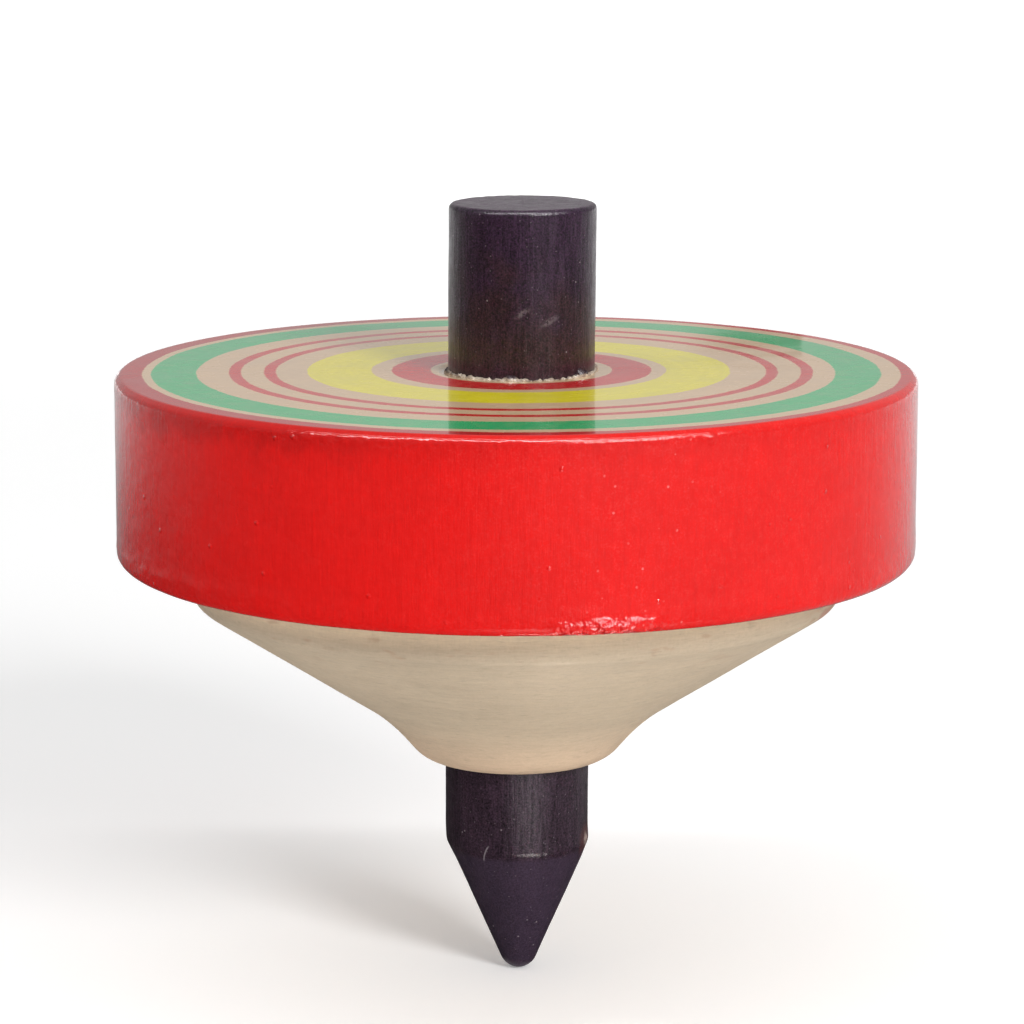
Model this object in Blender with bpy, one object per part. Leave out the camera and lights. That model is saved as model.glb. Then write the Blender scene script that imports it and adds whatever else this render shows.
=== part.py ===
"""A hand-spun wooden top: a turned, painted disc body wedged on one spindle that runs right through it.

The origin is the point that the top spins on, at the spindle's lower tip, and +Z runs up the spin axis.
"""
import math

import bmesh
import bpy
from mathutils import Vector

# Driving dimensions, in metres and degrees. Disc heights are above the disc's own lower end.
DISC_RADIUS = 0.0325
DISC_THICKNESS = 0.0321
DISC_HEIGHT_ON_SPINDLE = 0.0182
RIM_BOTTOM = 0.01693
RIM_TOP_ROUNDING = 0.0007
RIM_BOTTOM_ROUNDING = 0.0012
SHOULDER_RADIUS = 0.0265
SHOULDER_HEIGHT = 0.0138
SHOULDER_ROUNDING = 0.0007
NECK_RADIUS = 0.0107
NECK_HEIGHT = 0.0036
NECK_HOLLOW = 0.0168
HUB_RADIUS = 0.00765
HUB_ROUNDING = 0.0029

SPINDLE_LENGTH = 0.0639
SPINDLE_TOP_RADIUS = 0.0060
SPINDLE_LOWER_RADIUS = 0.0059
SPINDLE_TOP_ROUNDING = 0.0005
POINT_HALF_ANGLE = 23.6
POINT_SHOULDER_ROUNDING = 0.0006
TIP_RADIUS = 0.0016

# The wedge fit between bore and spindle is tight on the real top; the solids keep this clearance.
BORE_CLEARANCE = 0.0003

# Painted rings on the disc's top face: paint, inner radius, outer radius.
PAINTED_RINGS = (
    ("red_lacquer", 0.0073, 0.0105),
    ("yellow_paint", 0.0119, 0.0171),
    ("red_lacquer", 0.0199, 0.0208),
    ("red_lacquer", 0.0227, 0.0237),
    ("green_paint", 0.0259, 0.0295),
)
RIM_PAINT_INNER_RADIUS = 0.0306

# Finishes: base colour, roughness, metallic.
FINISHES = {
    "bare_wood": ((0.60, 0.45, 0.30), 0.55, 0.0),
    "red_lacquer": ((0.76, 0.02, 0.015), 0.12, 0.0),
    "yellow_paint": ((0.66, 0.50, 0.04), 0.12, 0.0),
    "green_paint": ((0.09, 0.36, 0.16), 0.12, 0.0),
    "aubergine_stain": ((0.030, 0.013, 0.024), 0.25, 0.0),
}

DISC_SIDES = 72
SPINDLE_SIDES = 48
ARC_STEP = 15.0
FEWEST_ARC_STEPS = 3
TIP_STEPS = 5
SMOOTH_ANGLE = 32.0
SAME_POINT = 1e-6


def clear_scene():
    for thing in list(bpy.data.objects):
        bpy.data.objects.remove(thing, do_unlink=True)


def finish(name):
    """The material of one finish, made once."""
    material = bpy.data.materials.get(name)
    if material is None:
        colour, roughness, metallic = FINISHES[name]
        material = bpy.data.materials.new(name)
        material.use_nodes = True
        shader = material.node_tree.nodes["Principled BSDF"]
        shader.inputs["Base Color"].default_value = (*colour, 1.0)
        shader.inputs["Roughness"].default_value = roughness
        shader.inputs["Metallic"].default_value = metallic
    return material


def rounded_corner(before, corner, after, rounding):
    """Points of the arc that rounds a corner of an outline; convex and hollow corners alike."""
    back = (before - corner).normalized()
    ahead = (after - corner).normalized()
    opening = back.angle(ahead)
    turn = math.pi - opening
    if rounding == 0 or turn < SAME_POINT:
        return [corner]
    cut = rounding / math.tan(opening / 2)
    centre = corner + (back + ahead).normalized() * (rounding / math.sin(opening / 2))
    start = (corner + back * cut - centre).normalized()
    end = (corner + ahead * cut - centre).normalized()
    steps = max(FEWEST_ARC_STEPS, math.ceil(math.degrees(turn) / ARC_STEP))
    return [centre + rounding * start.slerp(end, step / steps) for step in range(steps + 1)]


def rounded_outline(corners):
    """An outline through (radius, height, rounding) corners; its two ends keep their corners sharp."""
    places = [Vector((radius, height)) for radius, height, _ in corners]
    outline = [places[0]]
    for index in range(1, len(corners) - 1):
        outline += rounded_corner(places[index - 1], places[index], places[index + 1], corners[index][2])
    outline.append(places[-1])
    return outline


def turned_piece(name, outline, closed, sides):
    """Spins an outline of (radius, height) points round +Z into a solid object."""
    form = bmesh.new()
    points = [form.verts.new((radius, 0.0, height)) for radius, height in outline]
    edges = [form.edges.new(pair) for pair in zip(points, points[1:])]
    if closed:
        edges.append(form.edges.new((points[-1], points[0])))
    bmesh.ops.spin(form, geom=points + edges, cent=(0, 0, 0), axis=(0, 0, 1),
                   angle=2 * math.pi, steps=sides, use_merge=True)
    bmesh.ops.remove_doubles(form, verts=form.verts, dist=SAME_POINT)
    bmesh.ops.recalc_face_normals(form, faces=form.faces)
    mesh = bpy.data.meshes.new(name)
    form.to_mesh(mesh)
    form.free()
    mesh.shade_smooth()
    mesh.set_sharp_from_angle(angle=math.radians(SMOOTH_ANGLE))
    piece = bpy.data.objects.new(name, mesh)
    bpy.context.scene.collection.objects.link(piece)
    return piece


def point_height():
    """Height of the shoulder where the spindle's point starts, above the tip."""
    half_angle = math.radians(POINT_HALF_ANGLE)
    ball_edge_radius = TIP_RADIUS * math.cos(half_angle)
    ball_edge_height = TIP_RADIUS * (1 - math.sin(half_angle))
    return ball_edge_height + (SPINDLE_LOWER_RADIUS - ball_edge_radius) / math.tan(half_angle)


def spindle_radius(height):
    """The spindle's slight wedge taper, at a height above the tip and over the point's shoulder."""
    share = (height - point_height()) / (SPINDLE_LENGTH - point_height())
    return SPINDLE_LOWER_RADIUS + share * (SPINDLE_TOP_RADIUS - SPINDLE_LOWER_RADIUS)


def disc_outline():
    """The disc body's section: bore, flat painted face, rim, underside, cone, hollow neck and hub."""
    bore_top = spindle_radius(DISC_HEIGHT_ON_SPINDLE + DISC_THICKNESS) + BORE_CLEARANCE
    bore_bottom = spindle_radius(DISC_HEIGHT_ON_SPINDLE) + BORE_CLEARANCE
    paint_edges = [radius for _, inner, outer in PAINTED_RINGS for radius in (inner, outer)]
    face = [(radius, DISC_THICKNESS, 0) for radius in (bore_top, *paint_edges, RIM_PAINT_INNER_RADIUS)]
    return rounded_outline(face + [
        (DISC_RADIUS, DISC_THICKNESS, RIM_TOP_ROUNDING),
        (DISC_RADIUS, RIM_BOTTOM, RIM_BOTTOM_ROUNDING),
        (SHOULDER_RADIUS, RIM_BOTTOM, 0),
        (SHOULDER_RADIUS, SHOULDER_HEIGHT, SHOULDER_ROUNDING),
        (NECK_RADIUS, NECK_HEIGHT, NECK_HOLLOW),
        (HUB_RADIUS, 0, HUB_ROUNDING),
        (bore_bottom, 0, 0),
    ])


def spindle_outline():
    """The spindle's half section, from the middle of its top end down to the ball of its tip."""
    ball_turn = math.radians(90 - POINT_HALF_ANGLE)
    shaft = rounded_outline([
        (0, SPINDLE_LENGTH, 0),
        (SPINDLE_TOP_RADIUS, SPINDLE_LENGTH, SPINDLE_TOP_ROUNDING),
        (SPINDLE_LOWER_RADIUS, point_height(), POINT_SHOULDER_ROUNDING),
        (TIP_RADIUS * math.sin(ball_turn), TIP_RADIUS * (1 - math.cos(ball_turn)), 0),
    ])
    for step in range(TIP_STEPS - 1, -1, -1):
        angle = ball_turn * step / TIP_STEPS
        shaft.append(Vector((TIP_RADIUS * math.sin(angle), TIP_RADIUS * (1 - math.cos(angle)))))
    return shaft


def disc_finish(radius, height):
    """The finish at a place on the disc body: paint on the face and rim, bare wood below and in the bore."""
    on_face = height > DISC_THICKNESS - SAME_POINT
    if radius > RIM_PAINT_INNER_RADIUS and height > RIM_BOTTOM - SAME_POINT:
        return "red_lacquer"
    for paint, inner, outer in PAINTED_RINGS:
        if on_face and inner < radius < outer:
            return paint
    return "bare_wood"


def paint_disc(disc):
    """Gives each face of the disc body the finish of its place, judged halfway along its section edge."""
    slots = {}
    for name in FINISHES:
        if name != "aubergine_stain":
            slots[name] = len(slots)
            disc.data.materials.append(finish(name))
    for face in disc.data.polygons:
        corners = [disc.data.vertices[index].co for index in face.vertices]
        radii = [corner.xy.length for corner in corners]
        middle_radius = (min(radii) + max(radii)) / 2
        face.material_index = slots[disc_finish(middle_radius, face.center.z)]


def main():
    clear_scene()
    top = bpy.data.objects.new("spin_axis", None)
    bpy.context.scene.collection.objects.link(top)

    disc = turned_piece("disc_body", disc_outline(), True, DISC_SIDES)
    disc.location.z = DISC_HEIGHT_ON_SPINDLE
    disc.parent = top
    paint_disc(disc)

    spindle = turned_piece("spindle", spindle_outline(), False, SPINDLE_SIDES)
    spindle.parent = top
    spindle.data.materials.append(finish("aubergine_stain"))


main()
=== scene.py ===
"""The looks of the hand-spun wooden top: finished surfaces, paint, studio and camera round the CAD frame."""
import math

import bpy
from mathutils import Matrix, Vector, noise


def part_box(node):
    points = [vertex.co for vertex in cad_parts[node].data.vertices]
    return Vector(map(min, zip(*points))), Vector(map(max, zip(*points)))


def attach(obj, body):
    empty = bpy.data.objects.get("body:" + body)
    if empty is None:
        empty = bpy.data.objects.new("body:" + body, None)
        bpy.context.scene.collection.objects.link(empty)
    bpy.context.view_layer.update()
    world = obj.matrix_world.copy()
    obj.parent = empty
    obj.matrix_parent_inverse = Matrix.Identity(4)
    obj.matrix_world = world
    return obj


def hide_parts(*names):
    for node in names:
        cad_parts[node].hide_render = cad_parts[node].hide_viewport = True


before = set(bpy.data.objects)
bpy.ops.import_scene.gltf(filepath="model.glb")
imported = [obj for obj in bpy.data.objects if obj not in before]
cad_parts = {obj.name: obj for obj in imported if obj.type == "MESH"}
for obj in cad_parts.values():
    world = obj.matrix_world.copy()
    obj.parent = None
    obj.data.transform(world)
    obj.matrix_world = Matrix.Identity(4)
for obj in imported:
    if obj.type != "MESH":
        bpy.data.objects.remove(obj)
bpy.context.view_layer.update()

MM = 0.001

# Places read from the frame, in millimetres.
DISC_LOW, DISC_HIGH = (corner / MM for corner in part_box("disc_body"))
SPINDLE_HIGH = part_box("spindle")[1] / MM
FACE = DISC_HIGH.z
HUB = DISC_LOW.z
DISC_RADIUS = DISC_HIGH.x
STUB_END = SPINDLE_HIGH.z
SPINDLE_TOP_RADIUS = SPINDLE_HIGH.x

# Shape of the disc body in millimetres, with corners as (radius, height, rounding). Radii and heights are the
# CAD's. The edges are rounded as paint and wear leave them, and the bore closes round the leaning spindle.
RIM_BOTTOM = HUB + 16.93
RIM_TOP_ROUNDING = 0.7
RIM_BOTTOM_ROUNDING = 0.9
SHOULDER = (26.5, HUB + 13.8, 1.5)
NECK = (10.7, HUB + 3.6, 16.8)
HUB_CORNER = (7.65, HUB, 2.9)
BORE_RADIUS = 5.5

# Shape of the spindle in millimetres, as in the CAD, with a softer edge where its point starts.
SPINDLE_LOWER_RADIUS = 5.9
STUB_ROUNDING = 0.5
POINT_HALF_ANGLE = math.radians(23.6)
POINT_ROUNDING = 1.3
TIP_RADIUS = 1.6

# The spindle's small lean: sideways offset of its axis at heights above the tip.
LEAN = ((0.0, 0.20), (9.5, 0.20), (12.5, 0.06), (HUB, 0.08), (FACE, 0.43), (STUB_END, 0.54))

# Painted rings: paint, inner radius, outer radius, sideways offset of the ring's centre.
RINGS = (
    ("red", 7.34, 10.50, 0.43),
    ("yellow", 11.91, 17.14, 0.20),
    ("red", 19.86, 20.80, 0.39),
    ("red", 22.68, 23.66, 0.39),
    ("green", 25.85, 29.46, 0.00),
)
RIM_PAINT_RADIUS = 30.60
RIM_PAINT_OFFSET = 0.42
PAINT_EDGE = 0.08

# Heights between which the finish changes: from the rim's wall to the face, from the spindle's side to its
# end, and from its point to its side.
WALL_TO_FACE = (FACE - 0.6, FACE - 0.1)
SIDE_TO_END = (STUB_END - 0.15, STUB_END - 0.02)
POINT_TO_SIDE = (10.4, 10.9)

# Diffuse colours, linear.
VARNISHED_WOOD = (0.81, 0.555, 0.335)
BARE_WOOD = (0.505, 0.408, 0.292)
PAINTS = {
    "red": (0.72, 0.010, 0.008),
    "yellow": (0.98, 0.84, 0.02),
    "green": (0.035, 0.52, 0.175),
}
# The rim's red is the face's red paint made a tone darker: painted shade.
SHADED_RIM_RED = (0.595, 0.006, 0.005)
# Pale pink of the painted sheen and painted glints on the rim.
PAINTED_SHEEN_PINK = (0.90, 0.55, 0.52)
WARM_WOOD = (0.57, 0.41, 0.28)
BROWN_SPOT = (0.36, 0.22, 0.14)
RED_SMEAR = (0.36, 0.10, 0.08)
AUBERGINE = (0.022, 0.008, 0.023)
# Brown of the stub's foot, a painted reflection of the warm face, and of the dark in the glue ring.
BROWN_STAIN_AND_REFLECTION = (0.024, 0.008, 0.013)
POINT_STAIN = (0.034, 0.021, 0.037)
PEG_STAIN = (0.025, 0.013, 0.022)
# Lighter tone of the stub's flat end: painted sheen.
PAINTED_END_SHEEN = (0.062, 0.031, 0.058)
SPECK = (0.26, 0.22, 0.24)
CHIP_EDGE = (0.085, 0.022, 0.020)
CHIP_WOOD = (0.36, 0.28, 0.25)
GLUE = (0.50, 0.42, 0.33)
GLUE_SHADE = (0.26, 0.19, 0.15)

# Lacquer details in millimetres: the row of drips over the rim's lower edge, and the largest dust nib.
DRIPS = (3.5, 10.5)
LARGE_NIB = (14.5, -29.1, FACE - 0.75)

# Scuffs on the front of the stub: sideways place, height, length along a slope.
SCUFFS = ((0.5, FACE + 5.4, 1.05), (2.7, FACE + 4.7, 1.1))
SCUFF_SLOPE = math.radians(30)
SCUFF_HALF_WIDTH = 0.35

# A chip on the right of the peg's shoulder, and a curved scratch on its left, part of a circle in front view.
CHIP = Vector((5.9, -1.4, 11.4))
CHIP_DEPTH = 0.06
SCRATCH_CENTRE = Vector((-0.39, 0.0, 10.6))
SCRATCH_RADIUS = 2.23
SCRATCH_TOP = 11.8

# How far the relief stands back from the exact shape, so that no bump reaches past it.
DISC_INSET = 0.05
SPINDLE_INSET = 0.03

# Brightness of the soft room on the camera's side and behind the top, and glow of the floor and of the strip.
ROOM_FRONT = 0.40
ROOM_BACK = 0.43
FLOOR_GLOW = 0.20
STRIP_GLOW = 26.0

# Things that only reflections show, in millimetres: two bright spots on the table, a bar and a strip light.
POOL = (22.0, -66.0, 0.0)
GLINT = (8.5, -21.0, 0.0)
TABLE_HEIGHT = 0.5
BAR_LEFT, BAR_RIGHT, BAR_LOW, BAR_HIGH, BAR_AWAY = 52.6, 96.8, 187.5, 196.5, 1000.0
BAR_FADE = 26.0
STRIP_HALF_WIDTH, STRIP_HALF_DEPTH, STRIP_AWAY = 1200.0, 110.0, 1100.0
STRIP_ELEVATION = math.radians(52)

# Camera: place in millimetres, pitch below level, lens and sensor width in millimetres.
CAMERA_PLACE = (-0.33, -318.5, FACE + 48.46)
CAMERA_PITCH = 10.705
CAMERA_LENS = 139.67
SENSOR_WIDTH = 36.0

# How finely the round pieces are turned, and the radius below which a point lies on the axis.
DISC_SIDES = 480
SPINDLE_SIDES = 200
GLUE_SIDES = 420
FLOOR_SIDES = 96
TIP_STEPS = 12
ON_AXIS = 1e-6


def add(name, data):
    """A new object in the scene for a mesh, a lamp or a camera."""
    thing = bpy.data.objects.new(name, data)
    bpy.context.scene.collection.objects.link(thing)
    return thing


# ---------------------------------------------------------------- outlines


def arc(before, corner, after, rounding, spacing):
    """Points of the arc that rounds one corner of an outline."""
    before, corner, after = Vector(before), Vector(corner), Vector(after)
    back = (before - corner).normalized()
    ahead = (after - corner).normalized()
    opening = back.angle(ahead)
    cut = rounding / math.tan(opening / 2)
    centre = corner + (back + ahead).normalized() * (rounding / math.sin(opening / 2))
    start = (corner + back * cut - centre).normalized()
    end = (corner + ahead * cut - centre).normalized()
    steps = max(4, math.ceil((math.pi - opening) * rounding / spacing))
    return [centre + rounding * start.slerp(end, step / steps) for step in range(steps + 1)]


def outline_through(corners):
    """Dense (radius, height) points through (radius, height, rounding, spacing) corners.

    The spacing is that of the stretch that ends at the corner and of the arc that rounds it.
    """
    places = [Vector(corner[:2]) for corner in corners]
    pieces = [[places[0]]]
    for index in range(1, len(corners) - 1):
        rounding, spacing = corners[index][2:]
        if rounding:
            pieces.append(arc(places[index - 1], places[index], places[index + 1], rounding, spacing))
        else:
            pieces.append([places[index]])
    pieces.append([places[-1]])
    points = list(pieces[0])
    for piece, corner in zip(pieces[1:], corners[1:]):
        start, end = points[-1], piece[0]
        steps = max(1, math.ceil((end - start).length / corner[3]))
        points += [start.lerp(end, step / steps) for step in range(1, steps)]
        points += piece
    return points


def normals_of(outline, closed):
    """The outward direction at each outline point; the outline has the material on its right-hand side."""
    found = []
    last = len(outline) - 1
    for index, point in enumerate(outline):
        before = outline[index - 1] if index or closed else point
        after = outline[(index + 1) % (last + 1)] if index < last or closed else point
        along = (after - before).normalized()
        found.append(Vector((-along.y, along.x)))
    return found


def lathe(name, outline, sides, relief, closed, centre=lambda height: 0.0):
    """Turns an outline round +Z, pushing each point outwards by relief(radius, height, spot) millimetres.

    centre(height) is the sideways place of the axis at a height.
    """
    normals = normals_of(outline, closed)
    points, rows = [], []
    for (radius, height), (across, up) in zip(outline, normals):
        if radius < ON_AXIS:
            rows.append([len(points)] * sides)
            points.append((centre(height) * MM, 0.0, height * MM))
            continue
        row = []
        for side in range(sides):
            angle = 2 * math.pi * side / sides
            x, y = math.cos(angle), math.sin(angle)
            push = relief(radius, height, Vector((radius * x, radius * y, height)))
            reach = radius + across * push
            row.append(len(points))
            points.append(((reach * x + centre(height)) * MM, reach * y * MM, (height + up * push) * MM))
        rows.append(row)
    faces = []
    pairs = list(zip(rows, rows[1:])) + ([(rows[-1], rows[0])] if closed else [])
    for upper, lower in pairs:
        for side in range(sides):
            following = (side + 1) % sides
            corners = (upper[side], lower[side], lower[following], upper[following])
            faces.append(tuple(dict.fromkeys(corners)))
    mesh = bpy.data.meshes.new(name)
    mesh.from_pydata(points, [], faces)
    mesh.shade_smooth()
    return add(name, mesh)


def bump(distance, width):
    """A smooth bump of height 1 at distance 0."""
    return math.exp(-(distance / width) ** 2)


# ---------------------------------------------------------------- materials


class Nodes:
    """Short calls for building one material's node tree. Lengths inside it are millimetres."""

    def __init__(self, name):
        self.material = bpy.data.materials.new(name)
        self.material.use_nodes = True
        self.tree = self.material.node_tree
        self.shader = self.tree.nodes["Principled BSDF"]
        place = self.tree.nodes.new("ShaderNodeTexCoord").outputs["Object"]
        self.place = self.vector("SCALE", place, 1 / MM)
        self.x, self.y, self.z = self.split(self.place)
        self.radius = self.vector("LENGTH", self.join(self.x, self.y, 0.0))
        self.cosine = self.math("DIVIDE", self.x, self.radius)
        self.sine = self.math("DIVIDE", self.y, self.radius)

    def put(self, socket, value):
        if isinstance(value, bpy.types.NodeSocket):
            self.tree.links.new(value, socket)
        else:
            socket.default_value = value

    def math(self, operation, first, second=0.0):
        node = self.tree.nodes.new("ShaderNodeMath")
        node.operation = operation
        self.put(node.inputs[0], first)
        self.put(node.inputs[1], second)
        return node.outputs[0]

    def vector(self, operation, first, second=None):
        node = self.tree.nodes.new("ShaderNodeVectorMath")
        node.operation = operation
        self.put(node.inputs[0], first)
        if operation == "SCALE":
            self.put(node.inputs["Scale"], second)
        elif second is not None:
            self.put(node.inputs[1], second)
        return node.outputs["Value" if operation == "LENGTH" else "Vector"]

    def split(self, vector):
        node = self.tree.nodes.new("ShaderNodeSeparateXYZ")
        self.put(node.inputs[0], vector)
        return node.outputs[0], node.outputs[1], node.outputs[2]

    def join(self, x, y, z):
        node = self.tree.nodes.new("ShaderNodeCombineXYZ")
        for socket, value in zip(node.inputs, (x, y, z)):
            self.put(socket, value)
        return node.outputs[0]

    def noise(self, vector, scale, detail=2.0, roughness=0.5):
        node = self.tree.nodes.new("ShaderNodeTexNoise")
        self.put(node.inputs["Vector"], vector)
        node.inputs["Scale"].default_value = scale
        node.inputs["Detail"].default_value = detail
        node.inputs["Roughness"].default_value = roughness
        return node.outputs["Fac"]

    def stretched(self, shares, scale, detail=2.0, roughness=0.5):
        """Noise that is drawn out along the axes whose share is below 1."""
        return self.noise(self.vector("MULTIPLY", self.place, shares), scale, detail, roughness)

    def cells(self, vector, scale):
        """The distance to the nearest of many scattered points, as a share of their spacing."""
        node = self.tree.nodes.new("ShaderNodeTexVoronoi")
        self.put(node.inputs["Vector"], vector)
        node.inputs["Scale"].default_value = scale
        return node.outputs["Distance"]

    def ramp(self, value, low, high, to_low=0.0, to_high=1.0):
        """Maps low..high smoothly onto to_low..to_high, held beyond the ends."""
        node = self.tree.nodes.new("ShaderNodeMapRange")
        node.interpolation_type = "SMOOTHSTEP"
        for socket, given in zip(node.inputs, (value, low, high, to_low, to_high)):
            self.put(socket, given)
        return node.outputs[0]

    def mix(self, factor, first, second, blend="MIX"):
        """One colour laid over another; a colour is a socket or three numbers."""
        node = self.tree.nodes.new("ShaderNodeMix")
        node.data_type = "RGBA"
        node.blend_type = blend
        self.put(node.inputs["Factor"], factor)
        for socket, colour in zip((node.inputs[6], node.inputs[7]), (first, second)):
            self.put(socket, (*colour, 1.0) if isinstance(colour, tuple) else colour)
        return node.outputs[2]

    def grey(self, brightness):
        return self.join(brightness, brightness, brightness)

    def tint(self, colour, brightness):
        """The colour multiplied by a brightness socket."""
        return self.mix(1.0, colour, self.grey(brightness), "MULTIPLY")

    def product(self, first, *others):
        for other in others:
            first = self.math("MULTIPLY", first, other)
        return first

    def distance(self, place):
        """How far each point of the surface is from a place, in millimetres."""
        return self.vector("LENGTH", self.vector("SUBTRACT", self.place, place))

    def band(self, value, low, high, edge):
        """1 between low and high, 0 outside, with soft edges."""
        rise = self.ramp(value, low - edge, low + edge)
        fall = self.ramp(value, high - edge, high + edge, 1.0, 0.0)
        return self.math("MULTIPLY", rise, fall)

    def centred(self, value, amount):
        """A 0..1 noise as a number around zero, of the given spread."""
        return self.math("MULTIPLY", self.math("SUBTRACT", value, 0.5), amount)

    def relief(self, height):
        """The normal of a surface that stands out by a height in millimetres."""
        node = self.tree.nodes.new("ShaderNodeBump")
        node.inputs["Strength"].default_value = 1.0
        node.inputs["Distance"].default_value = MM
        self.put(node.inputs["Height"], height)
        return node.outputs[0]

    def total(self, *parts):
        """The sum of noises centred on zero: each part is a 0..1 socket and its spread."""
        whole = 0.0
        for value, spread in parts:
            whole = self.math("ADD", whole, self.centred(value, spread))
        return whole

    def finish(self, colour, roughness, normal, **constants):
        self.put(self.shader.inputs["Base Color"], colour)
        self.put(self.shader.inputs["Roughness"], roughness)
        self.put(self.shader.inputs["Normal"], normal)
        self.put(self.shader.inputs["Coat Normal"], normal)
        for name, value in constants.items():
            self.put(self.shader.inputs[name.replace("_", " ")], value)
        return self.material


def paint_material():
    """The glossy face and rim: painted rings on pale wood under clear lacquer, and the red rim."""
    n = Nodes("painted_gloss")
    on_front = n.ramp(n.y, -10, 0, 1.0, 0.0)
    round_and_round = n.join(n.math("MULTIPLY", n.radius, 2.6), n.math("MULTIPLY", n.cosine, 2.5),
                             n.math("MULTIPLY", n.sine, 2.5))
    strokes = n.noise(round_and_round, 1.0, 4.0, 0.6)
    fibres = n.stretched((1.0, 1.0, 0.07), 3.6, 3.0, 0.6)
    fine_fibres = n.stretched((1.0, 1.0, 0.10), 9.0, 2.0, 0.6)
    blotches = n.noise(n.place, 0.12, 3.0, 0.5)
    mottle = n.noise(n.place, 1.3, 3.0, 0.6)
    grain = n.noise(n.place, 6.0, 2.0, 0.6)
    wander = n.total((n.noise(n.place, 0.14, 1.0), 0.34), (n.noise(n.place, 1.8, 2.0), 0.16))

    def from_centre(offset):
        """Distance from the centre of a ring that sits beside the axis, as an unsteady brush paints it."""
        return n.math("SUBTRACT", n.math("ADD", n.radius, wander), n.product(n.cosine, offset))

    # The flat face: pale varnished wood, then the rings.
    wood_light = n.math("ADD", 1.0, n.total((blotches, 0.14), (mottle, 0.10), (grain, 0.14), (strokes, 0.06)))
    colour = n.tint(VARNISHED_WOOD, wood_light)
    paint_light = n.math("ADD", 1.0, n.total((strokes, 0.24), (mottle, 0.14), (grain, 0.20)))
    cover = n.ramp(n.noise(n.place, 0.9, 3.0, 0.6), 0.30, 0.55, 0.90, 1.0)
    for paint, inner, outer, offset in RINGS:
        ring = n.product(n.band(from_centre(offset), inner, outer, PAINT_EDGE), cover)
        colour = n.mix(ring, colour, n.tint(PAINTS[paint], paint_light))

    # The rim: red over upright grain, darker where the paint pooled under the top edge.
    level_lines = n.noise(n.join(0.0, 0.0, n.z), 2.2, 3.0, 0.6)
    rim_light = n.math("ADD", 1.0, n.total((blotches, 0.18), (fibres, 0.18), (fine_fibres, 0.18),
                                           (mottle, 0.18), (level_lines, 0.05)))
    uneven = n.math("ADD", n.z, n.centred(n.noise(n.place, 0.35, 3.0, 0.6), 5.0))
    pooled = n.product(n.ramp(uneven, FACE - 3.0, FACE - 0.6), n.ramp(n.x, -24, 10, 0.24, 0.07))
    rim_light = n.product(rim_light, n.math("SUBTRACT", 1.0, pooled))
    rim = n.ramp(from_centre(RIM_PAINT_OFFSET), RIM_PAINT_RADIUS - PAINT_EDGE, RIM_PAINT_RADIUS + PAINT_EDGE)
    on_wall = n.ramp(n.z, *WALL_TO_FACE, 1.0, 0.0)
    # The same red paint as on the face, a tone darker on the wall: painted shade.
    red_shaded_on_wall = n.mix(on_wall, PAINTS["red"], SHADED_RIM_RED)
    # Painted sheen: faint pale pink flecks on the rim, strongest towards the right where the key light falls.
    painted_sheen = n.product(n.ramp(grain, 0.42, 0.75), n.ramp(mottle, 0.35, 0.70, 0.010, 0.035),
                     n.ramp(n.x, -15, 8, 0.25, 1.0))
    # Pale specks on the front right where the key light glints: painted glints of that light on dust nibs.
    from_dust = n.math("ADD", n.cells(n.place, 0.85), n.centred(n.noise(n.place, 6.0, 1.0), 0.08))
    dust = n.product(n.ramp(from_dust, 0.03, 0.12, 0.26, 0.0), n.band(n.x, 6, 14, 3.0),
                     n.ramp(mottle, 0.42, 0.58, 0.35, 1.0), on_front)
    painted_sheen = n.math("MAXIMUM", painted_sheen, dust)
    colour = n.mix(rim, colour, n.mix(painted_sheen, n.tint(red_shaded_on_wall, rim_light), PAINTED_SHEEN_PINK))

    # Relief of the lacquer in millimetres: fibres and orange peel, thick bumpy edges, dust nibs.
    wall = n.total((fibres, 0.030), (fine_fibres, 0.011), (n.noise(n.place, 0.9, 3.0, 0.55), 0.035))
    bumps = n.noise(n.place, 1.0, 2.0, 0.55)
    thickness = n.math("ADD", 0.32, n.total((bumps, 0.7), (n.noise(n.place, 2.4, 2.0), 0.24)))
    drips = n.product(thickness, n.ramp(n.z, RIM_BOTTOM + 0.6, RIM_BOTTOM + 1.7, 1.0, 0.0),
                      n.band(n.x, *DRIPS, 2.5), on_front)
    lower_edge = n.product(n.band(n.z, RIM_BOTTOM + 0.2, RIM_BOTTOM + 1.8, 0.4), n.centred(bumps, 0.08))
    upper_edge = n.product(n.band(n.z, FACE - 1.1, FACE - 0.05, 0.25), n.centred(bumps, 0.16),
                           n.ramp(n.math("ABSOLUTE", n.x), 16, 26, 1.0, 0.3))
    small_nibs = n.ramp(n.cells(n.place, 0.40), 0.0, 0.10, 0.08, 0.0)
    large_nib = n.ramp(n.distance(LARGE_NIB), 0.0, 0.65, 0.15, 0.0)
    for part in (drips, lower_edge, upper_edge, small_nibs, large_nib):
        wall = n.math("ADD", wall, part)
    face = n.total((n.noise(n.place, 0.5, 2.0), 0.0016), (grain, 0.0004))
    height = n.math("ADD", n.product(wall, on_wall), n.product(face, n.math("SUBTRACT", 1.0, on_wall)))
    gloss = n.ramp(n.noise(n.place, 0.35, 3.0), 0.3, 0.7, 0.20, 0.30)
    return n.finish(colour, gloss, n.relief(height), Coat_Weight=1.0, Coat_Roughness=0.04,
                    Coat_IOR=1.36, IOR=1.36, Specular_IOR_Level=0.08)


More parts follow.
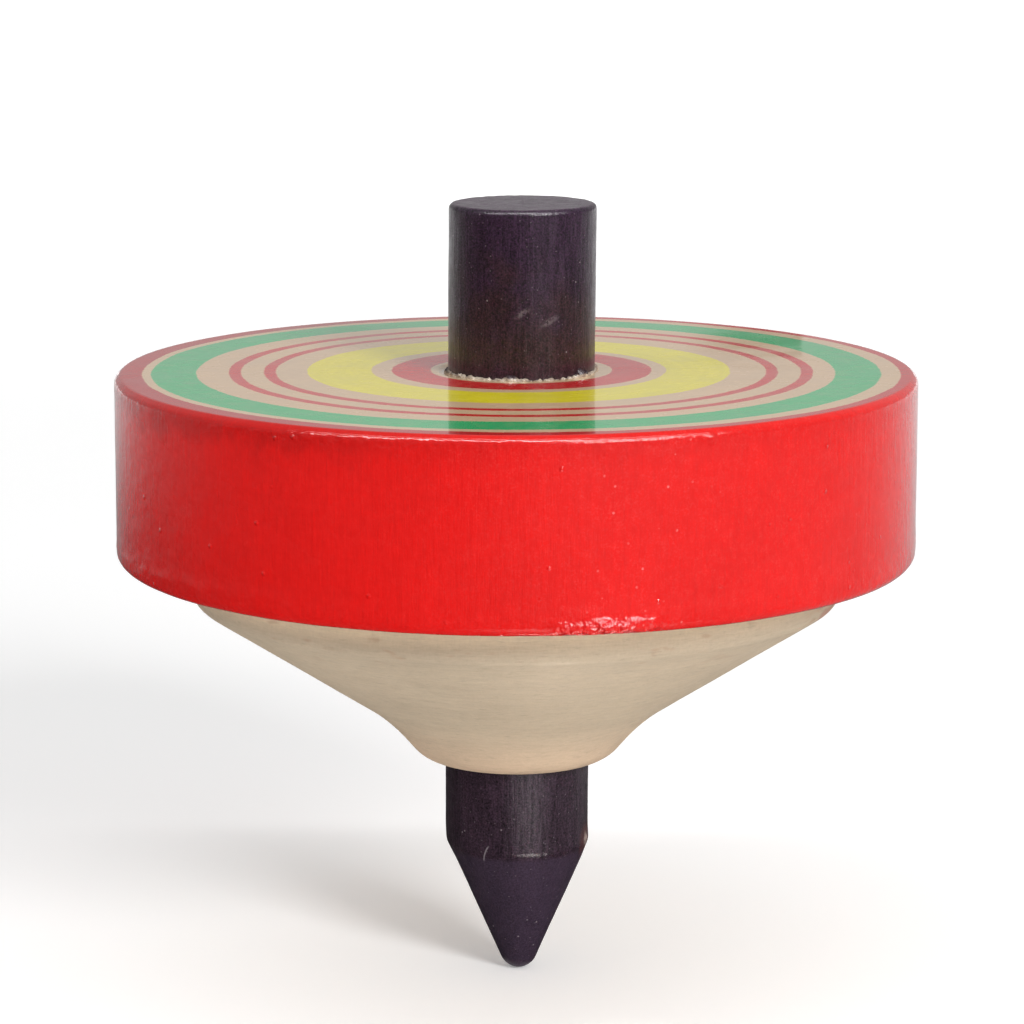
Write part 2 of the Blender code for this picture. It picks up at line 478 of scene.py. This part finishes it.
def wood_material():
    """The bare sanded underside: lathe lines round the cone, faint grain, a few stains and red smears, with
    painted light and shade on the ledge under the rim.
    """
    n = Nodes("bare_wood")
    lines = n.stretched((0.05, 0.05, 1.0), 5.6, 4.0, 0.75)
    threads = n.stretched((0.22, 0.22, 1.0), 5.0, 3.0, 0.65)
    bands = n.stretched((0.02, 0.02, 1.0), 0.8, 2.0, 0.5)
    pores = n.stretched((1.0, 1.0, 0.5), 5.0, 3.0, 0.6)
    blotches = n.noise(n.place, 0.10, 3.0, 0.5)
    light = n.math("ADD", 1.0, n.total((blotches, 0.16), (lines, 0.30), (threads, 0.24), (bands, 0.10),
                                       (pores, 0.20)))
    flecks = n.stretched((0.9, 0.9, 6.0), 1.0, 2.0, 0.6)
    # Painted light and shade on the ledge under the rim: a tenth darker just above the shoulder, up to about
    # a quarter lighter towards the rim.
    painted_ledge_light_and_shade = n.math("ADD", n.ramp(n.z, SHOULDER[1] - 1.5, SHOULDER[1] + 0.4, 1.0, 0.90),
                         n.ramp(n.z, SHOULDER[1] + 0.3, SHOULDER[1] + 2.0, 0.0, 0.36))
    light = n.product(light, n.ramp(flecks, 0.60, 0.70, 1.0, 0.88), painted_ledge_light_and_shade)
    colour = n.tint(BARE_WOOD, light)
    colour = n.mix(n.ramp(n.z, HUB, HUB + 6.0, 0.8, 0.0), colour, n.tint(WARM_WOOD, light))
    near_shoulder = n.ramp(n.radius, SHOULDER[0] - 4.0, SHOULDER[0] - 0.5)
    stains = n.ramp(n.stretched((0.35, 0.35, 1.1), 1.0, 2.0), 0.62, 0.74, 0.0, 0.45)
    colour = n.mix(n.product(stains, near_shoulder), colour, BROWN_SPOT)
    smears = n.ramp(n.stretched((0.3, 0.3, 0.9), 1.0, 2.0), 0.42, 0.62, 0.0, 0.6)
    on_right = n.product(n.ramp(n.x, 22.0, 25.5), n.band(n.z, SHOULDER[1] - 0.5, SHOULDER[1] + 1.2, 0.6))
    colour = n.mix(n.product(smears, on_right), colour, RED_SMEAR)
    # The rim's red runs onto the underside's outer edge, in its darker painted-shade tone.
    lip = n.ramp(n.math("ADD", n.radius, n.centred(n.noise(n.place, 0.8), 1.0)), 30.2, 30.6)
    colour = n.mix(lip, colour, n.tint(SHADED_RIM_RED, light))
    height = n.total((lines, 0.036), (threads, 0.018), (pores, 0.012))
    rough = n.ramp(n.noise(n.place, 0.8, 2.0), 0.3, 0.7, 0.46, 0.60)
    return n.finish(colour, rough, n.relief(height), IOR=1.45, Specular_IOR_Level=0.35)


def stain_material():
    """The spindle: aubergine stain in long fibres, browner at the stub's foot as a painted reflection of the
    warm face, under lacquer that is thin on the point, with the stub's flat end lighter as a painted sheen.
    It carries dust specks, two scuffs, a chip and a scratch."""
    n = Nodes("aubergine_stain")
    fibres = n.stretched((1.0, 1.0, 0.06), 5.0, 4.0, 0.7)
    broad = n.stretched((1.0, 1.0, 0.2), 0.5, 2.0)
    grain = n.noise(n.place, 6.5, 2.0, 0.7)
    light = n.math("ADD", 1.0, n.total((broad, 0.9), (fibres, 1.7), (grain, 4.2)))
    light = n.math("MAXIMUM", light, 0.15)
    # Browner at the stub's foot: painted reflection of the warm painted face below it; purple higher up.
    uneven = n.math("ADD", n.z, n.centred(n.noise(n.place, 0.35, 2.0), 22.0))
    purple_above_reflection = n.ramp(uneven, FACE + 1.0, STUB_END - 3.0)
    colour = n.mix(purple_above_reflection, n.tint(BROWN_STAIN_AND_REFLECTION, light), n.tint(AUBERGINE, light))
    colour = n.mix(n.ramp(n.z, HUB, FACE), n.tint(PEG_STAIN, light), colour)
    # The stub's flat end is lighter: painted sheen of the bright light it mirrors at a grazing angle.
    colour = n.mix(n.ramp(n.z, *SIDE_TO_END), colour, n.tint(PAINTED_END_SHEEN, light))
    point = n.ramp(n.z, *POINT_TO_SIDE, 1.0, 0.0)
    point_light = n.math("ADD", 1.0, n.total((broad, 0.4), (grain, 1.8)))
    colour = n.mix(point, colour, n.tint(POINT_STAIN, point_light))
    specks = n.math("MAXIMUM", n.ramp(n.cells(n.place, 0.75), 0.03, 0.075, 0.6, 0.0),
                    n.ramp(n.cells(n.place, 1.7), 0.05, 0.13, 0.25, 0.0))
    colour = n.mix(specks, colour, SPECK)
    on_front = n.ramp(n.y, -3, -1, 1.0, 0.0)
    worn = n.ramp(n.noise(n.place, 4.0, 3.0, 0.7), 0.36, 0.60, 0.03, 0.30)
    slope, rise = math.cos(SCUFF_SLOPE), math.sin(SCUFF_SLOPE)
    for across, height, length in SCUFFS:
        aside, above = n.math("SUBTRACT", n.x, across), n.math("SUBTRACT", n.z, height)
        along = n.math("ADD", n.product(aside, slope), n.product(above, rise))
        beside = n.math("SUBTRACT", n.product(above, slope), n.product(aside, rise))
        reach = n.join(n.math("DIVIDE", along, length), n.math("DIVIDE", beside, SCUFF_HALF_WIDTH), 0.0)
        scuff = n.ramp(n.vector("LENGTH", reach), 0.2, 1.0, 1.0, 0.0)
        colour = n.mix(n.product(scuff, on_front, worn), colour, SPECK)
    ragged = n.math("ADD", n.distance(CHIP), n.centred(n.noise(n.place, 1.6, 3.0), 1.6))
    colour = n.mix(n.ramp(ragged, 0.6, 2.0, 0.7, 0.0), colour, CHIP_EDGE)
    colour = n.mix(n.ramp(ragged, 0.25, 0.8, 0.8, 0.0), colour, CHIP_WOOD)
    flat = n.vector("MULTIPLY", n.vector("SUBTRACT", n.place, SCRATCH_CENTRE), (1.0, 0.0, 1.0))
    off_arc = n.math("ABSOLUTE", n.math("SUBTRACT", n.vector("LENGTH", flat), SCRATCH_RADIUS))
    scratch = n.product(n.ramp(off_arc, 0.02, 0.09, 0.55, 0.0),
                        n.band(n.z, SCRATCH_CENTRE.z - 0.1, SCRATCH_TOP, 0.15),
                        on_front, n.ramp(n.x, -1, 0, 1.0, 0.0))
    colour = n.mix(scratch, colour, SPECK)
    upright = n.ramp(n.z, *SIDE_TO_END, 1.0, 0.0)
    end_grain = n.math("MULTIPLY", n.noise(n.place, 3.2, 3.0, 0.6), 0.02)
    height = n.math("ADD", n.total((fibres, 0.034), (grain, 0.012), (n.noise(n.place, 1.2, 2.0), 0.03)),
                    n.product(n.math("SUBTRACT", 1.0, upright), end_grain))
    rough = n.ramp(n.noise(n.place, 0.9, 3.0), 0.3, 0.7, 0.30, 0.45)
    rough = n.math("ADD", rough, n.math("MULTIPLY", point, 0.12))
    coat = n.product(n.ramp(point, 0.0, 1.0, 1.0, 0.25), n.ramp(fibres, 0.38, 0.62, 0.35, 0.80))
    coat = n.math("MAXIMUM", coat, n.ramp(upright, 0.0, 1.0, 0.50, 0.0))
    return n.finish(colour, rough, n.relief(height), Coat_Weight=coat, Coat_Roughness=0.16,
                    Coat_IOR=1.45, IOR=1.45, Specular_IOR_Level=0.14)


def glue_material():
    """Dried glue and torn paint round the foot of the stub: cream, darker along its top and on its left side.
    """
    n = Nodes("dried_glue")
    crumbs = n.noise(n.place, 2.4, 4.0, 0.7)
    colour = n.mix(n.ramp(crumbs, 0.38, 0.60), GLUE_SHADE, GLUE)
    dark = n.math("MAXIMUM", n.ramp(n.math("ADD", n.z, n.centred(crumbs, 0.8)), FACE + 0.16, FACE + 0.30),
                  n.ramp(n.x, -5.7, -5.3, 1.0, 0.0))
    colour = n.mix(dark, colour, BROWN_STAIN_AND_REFLECTION)
    rough = n.ramp(n.noise(n.place, 1.5, 2.0), 0.35, 0.65, 0.12, 0.5)
    return n.finish(colour, rough, n.relief(n.centred(crumbs, 0.08)), IOR=1.45)


# ---------------------------------------------------------------- pieces


def disc_relief(radius, height, spot):
    """Millimetres that the disc's surface stands out of its exact shape: lacquer runs, waves, tool lines."""
    slow = noise.noise(spot * 0.13)
    if radius > RIM_PAINT_RADIUS and height < FACE - 0.05:
        wave = 0.025 * slow + 0.010 * noise.noise(spot * 0.6)
        bead_height = RIM_BOTTOM + 1.55 + 0.25 * noise.noise(Vector((spot.x, spot.y, 0)) * 0.12)
        bead = bump(height - bead_height, 0.75)
        fall = 0.04 * bead * (0.8 + 0.6 * noise.noise(spot * 0.25))
        runs = 0.035 * bump(height - bead_height, 1.1) * noise.noise(spot * 1.15)
        edge = 0.02 * bump(FACE - 0.7 - height, 0.6) * noise.noise(spot * 0.9)
        return wave + fall + runs + edge - DISC_INSET
    if height > FACE - 0.05:
        return 0.004 * (noise.noise(spot * 0.2) - 1)
    along = Vector((spot.x * 0.02, spot.y * 0.02, radius - height))
    tool_lines = 0.010 * noise.noise(along * 1.6) + 0.014 * noise.noise(along * 0.55)
    return tool_lines + 0.015 * noise.noise(spot * 0.25)


def make_disc():
    """The turned body: face, rim, ledge, shoulder, cone, hub and bore, painted above and bare below."""
    outline = outline_through([
        (BORE_RADIUS, FACE, 0, 1),
        (DISC_RADIUS - 1.0, FACE, 0, 1.2),
        (DISC_RADIUS, FACE, RIM_TOP_ROUNDING, 0.13),
        (DISC_RADIUS, RIM_BOTTOM + 3.5, 0, 0.45),
        (DISC_RADIUS, RIM_BOTTOM, RIM_BOTTOM_ROUNDING, 0.16),
        (SHOULDER[0], RIM_BOTTOM, 0, 1.2),
        (*SHOULDER, 0.2),
        (*NECK, 0.45),
        (*HUB_CORNER, 0.3),
        (BORE_RADIUS, HUB, 0, 0.3),
        (BORE_RADIUS, FACE, 0, 8),
    ])
    outline.pop()
    disc = lathe("disc_body_finished", outline, DISC_SIDES, disc_relief, closed=True)
    disc.data.materials.append(paint_material())
    disc.data.materials.append(wood_material())
    for face in disc.data.polygons:
        middle = face.center / MM
        painted = middle.z > RIM_BOTTOM + 0.01 and middle.xy.length > BORE_RADIUS + 0.1
        face.material_index = 0 if painted else 1
    return disc


def lean(height):
    """Sideways offset of the spindle's axis at a height, in millimetres."""
    for (low, at_low), (high, at_high) in zip(LEAN, LEAN[1:]):
        if height <= high:
            return at_low + (at_high - at_low) * (height - low) / (high - low)
    return LEAN[-1][1]


def spindle_relief(radius, height, spot):
    """Millimetres that the spindle's surface stands out of its exact shape: fibres, waves, wear, a chip."""
    fibres = 0.012 * noise.noise(Vector((spot.x * 2.2, spot.y * 2.2, spot.z * 0.12)))
    waves = 0.02 * noise.noise(spot * 0.22)
    chips = 0.02 * bump(STUB_END - height, 0.5) * noise.noise(spot * 1.4)
    chip = CHIP_DEPTH * bump((spot - CHIP).length, 0.9)
    return fibres + waves + chips - chip - SPINDLE_INSET


def make_spindle():
    """The dowel from its flat end down to the ball of its tip, on a slightly leaning axis."""
    ball_turn = math.pi / 2 - POINT_HALF_ANGLE
    ball_edge = (TIP_RADIUS * math.sin(ball_turn), TIP_RADIUS * (1 - math.cos(ball_turn)))
    point_height = ball_edge[1] + (SPINDLE_LOWER_RADIUS - ball_edge[0]) / math.tan(POINT_HALF_ANGLE)
    outline = outline_through([
        (0, STUB_END, 0, 1),
        (SPINDLE_TOP_RADIUS, STUB_END, STUB_ROUNDING, 0.1),
        (SPINDLE_LOWER_RADIUS, point_height, POINT_ROUNDING, 0.5),
        (*ball_edge, 0, 0.5),
    ])
    for step in range(TIP_STEPS - 1, -1, -1):
        angle = ball_turn * step / TIP_STEPS
        outline.append(Vector((TIP_RADIUS * math.sin(angle), TIP_RADIUS * (1 - math.cos(angle)))))
    spindle = lathe("spindle_finished", outline, SPINDLE_SIDES, spindle_relief, closed=False, centre=lean)
    spindle.data.materials.append(stain_material())
    return spindle


def glue_relief(radius, height, spot):
    """Ragged crumbs, with two larger flakes at the front of the stub's foot."""
    angle = math.degrees(math.atan2(spot.x, -spot.y))
    flakes = sum(size * bump(angle - place, width) for place, width, size in ((-9, 6, 0.30), (52, 7, 0.35)))
    ragged = 0.20 * noise.noise(spot * 1.3) + 0.22 * noise.noise(spot * 3.1)
    return max(-0.12, ragged + flakes)


def make_glue():
    """A low ring of crumbs against the stub, sunk a little into the face."""
    outline = [Vector(corner) for corner in (
        (5.6, FACE - 0.10), (5.6, FACE + 0.10), (5.90, FACE + 0.12), (6.02, FACE + 0.07), (6.12, FACE + 0.01),
        (6.16, FACE - 0.10))]
    glue = lathe("dried_glue", outline, GLUE_SIDES, glue_relief, closed=True,
                 centre=lambda height: lean(FACE))
    glue.data.materials.append(glue_material())
    return glue


# ---------------------------------------------------------------- studio


def flat_disc(name, radii, height):
    """A level round sheet at a height, in millimetres."""
    outline = [Vector((radius, height)) for radius in radii]
    return lathe(name, outline, FLOOR_SIDES, lambda radius, height, spot: 0.0, closed=False)


def make_floor():
    """A wide pale floor that reaches past everything the camera sees."""
    floor = flat_disc("floor", (0, 60, 200, 700, 1500, 2600), 0.0)
    n = Nodes("pale_floor")
    mottle = n.ramp(n.noise(n.place, 0.004, 3.0), 0.3, 0.7, 0.985, 1.0)
    colour = n.tint((0.94, 0.94, 0.94), mottle)
    grain = n.relief(n.centred(n.noise(n.place, 0.6), 0.01))
    floor.data.materials.append(n.finish(colour, 0.9, grain, Specular_IOR_Level=0.1,
                                         Emission_Color=(1.0, 1.0, 1.0, 1.0), Emission_Strength=FLOOR_GLOW))


def only_reflected(card, n, colour, **constants):
    """Gives a card its dull finish and keeps it out of sight and out of the light: only glossy reflections
    on the top show it."""
    card.data.materials.append(n.finish(colour, 1.0, n.relief(0.0), Specular_IOR_Level=0.0, **constants))
    for way in ("camera", "diffuse", "transmission", "volume_scatter", "shadow"):
        setattr(card, "visible_" + way, False)


def glowing_card(n, name, corners, light, strength):
    """A flat black card that glows, through four corners in millimetres; only reflections show it."""
    mesh = bpy.data.meshes.new(name)
    mesh.from_pydata([tuple(Vector(corner) * MM) for corner in corners], [], [(0, 1, 2, 3)])
    only_reflected(add(name, mesh), n, (0.0, 0.0, 0.0, 1.0), Emission_Color=light, Emission_Strength=strength)


def make_reflected_table():
    """What the lacquer mirrors in place of the white floor: a table that is darker to the left and in front,
    with two bright spots before the top. It starts outside the tip, so that nothing cuts through it."""
    table = flat_disc("reflected_table", (1.4, 12, 40, 90, 160, 300, 600, 1200, 2000), TABLE_HEIGHT)
    n = Nodes("reflected_table")
    across = n.ramp(n.x, -160, 130, 0.04, 0.44)
    behind = n.ramp(n.y, 60, 330, 0.0, 0.42)
    far_left = n.product(n.ramp(n.radius, 150, 320), n.ramp(n.x, -200, 0, 0.36, 0.0),
                         n.ramp(n.y, -90, 90, 0.3, 1.0))
    away = n.math("MAXIMUM", n.ramp(n.radius, 70, 170, 0.30, 1.0), n.ramp(n.x, 0, 60, 0.0, 0.9))
    table_light = n.product(n.math("ADD", n.math("ADD", across, behind), far_left), away)
    pool = n.ramp(n.distance(POOL), 6, 40, 2.8, 0.0)
    glint = n.ramp(n.distance(GLINT), 2, 8, 18.0, 0.0)
    only_reflected(table, n, n.grey(n.math("ADD", table_light, n.math("ADD", pool, glint))))


def make_reflected_bar():
    """The small dark thing behind that the lacquered face mirrors on its far right."""
    n = Nodes("reflected_bar")
    fade = n.grey(n.ramp(n.x, BAR_LEFT, BAR_LEFT + BAR_FADE, ROOM_BACK, 0.02))
    corners = ((BAR_LEFT, BAR_LOW), (BAR_RIGHT, BAR_LOW), (BAR_RIGHT, BAR_HIGH), (BAR_LEFT, BAR_HIGH))
    glowing_card(n, "reflected_bar", [(x, BAR_AWAY, z) for x, z in corners], fade, 1.0)


def make_reflected_strip():
    """The long ceiling light that draws a thin broken line of light along both top edges."""
    y = -STRIP_AWAY * math.cos(STRIP_ELEVATION)
    z = FACE + STRIP_AWAY * math.sin(STRIP_ELEVATION)
    corners = [(side * STRIP_HALF_WIDTH, y + end * STRIP_HALF_DEPTH, z)
               for side, end in ((-1, -1), (1, -1), (1, 1), (-1, 1))]
    glowing_card(Nodes("reflected_strip"), "reflected_strip", corners, (1.0, 1.0, 1.0, 1.0), STRIP_GLOW)


def area_light(name, azimuth, elevation, distance, width, height, power):
    """A soft light aimed at the disc, in degrees, metres and watts. Azimuth 0 is the camera's side and turns
    towards +X."""
    target = Vector((0, 0, FACE * MM))
    a, e = math.radians(azimuth), math.radians(elevation)
    direction = Vector((math.sin(a) * math.cos(e), -math.cos(a) * math.cos(e), math.sin(e)))
    lamp = bpy.data.lights.new(name, "AREA")
    lamp.shape = "RECTANGLE"
    lamp.size, lamp.size_y = width, height
    lamp.energy = power
    holder = add(name, lamp)
    holder.location = target + direction * distance
    holder.rotation_euler = (-direction).to_track_quat("-Z", "Y").to_euler()
    return holder


def make_lights():
    """A key from the front right, a soft top light, a wide light for the far floor, and a soft room."""
    area_light("key", azimuth=32, elevation=24, distance=0.9, width=0.25, height=0.25, power=6.0)
    area_light("ceiling_strip", azimuth=0, elevation=78, distance=1.1, width=1.8, height=0.10, power=5.1)
    backdrop_light = area_light("backdrop_light", azimuth=180, elevation=45, distance=1.6, width=2.4,
                                height=1.2, power=24)
    backdrop_light.rotation_euler = (math.radians(25), 0, 0)
    backdrop_light.data.spread = math.radians(110)
    world = bpy.data.worlds.new("soft_room")
    world.use_nodes = True
    tree = world.node_tree
    direction = tree.nodes.new("ShaderNodeTexCoord").outputs["Generated"]
    parts = tree.nodes.new("ShaderNodeSeparateXYZ")
    tree.links.new(direction, parts.inputs[0])
    gradient = tree.nodes.new("ShaderNodeMapRange")
    for socket, value in zip(gradient.inputs[1:5], (-1.0, 1.0, ROOM_FRONT, ROOM_BACK)):
        socket.default_value = value
    tree.links.new(parts.outputs["Y"], gradient.inputs[0])
    tree.links.new(gradient.outputs[0], tree.nodes["Background"].inputs["Strength"])
    tree.nodes["Background"].inputs["Color"].default_value = (1.0, 1.0, 1.0, 1.0)
    bpy.context.scene.world = world
    bpy.context.scene.view_settings.view_transform = "Standard"


def make_camera():
    """The long-lens view from slightly above that shows the face as a narrow ellipse."""
    camera = bpy.data.cameras.new("camera")
    camera.lens = CAMERA_LENS
    camera.sensor_width = SENSOR_WIDTH
    camera.clip_start, camera.clip_end = 0.01, 20.0
    holder = add("camera", camera)
    holder.location = Vector(CAMERA_PLACE) * MM
    holder.rotation_euler = (math.radians(90 - CAMERA_PITCH), 0, 0)
    bpy.context.scene.camera = holder


make_camera()
make_lights()
make_floor()
make_reflected_table()
make_reflected_bar()
make_reflected_strip()

disc = make_disc()
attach(disc, "root")
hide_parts("disc_body")

spindle = make_spindle()
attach(spindle, "root")
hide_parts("spindle")

glue = make_glue()
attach(glue, "root")
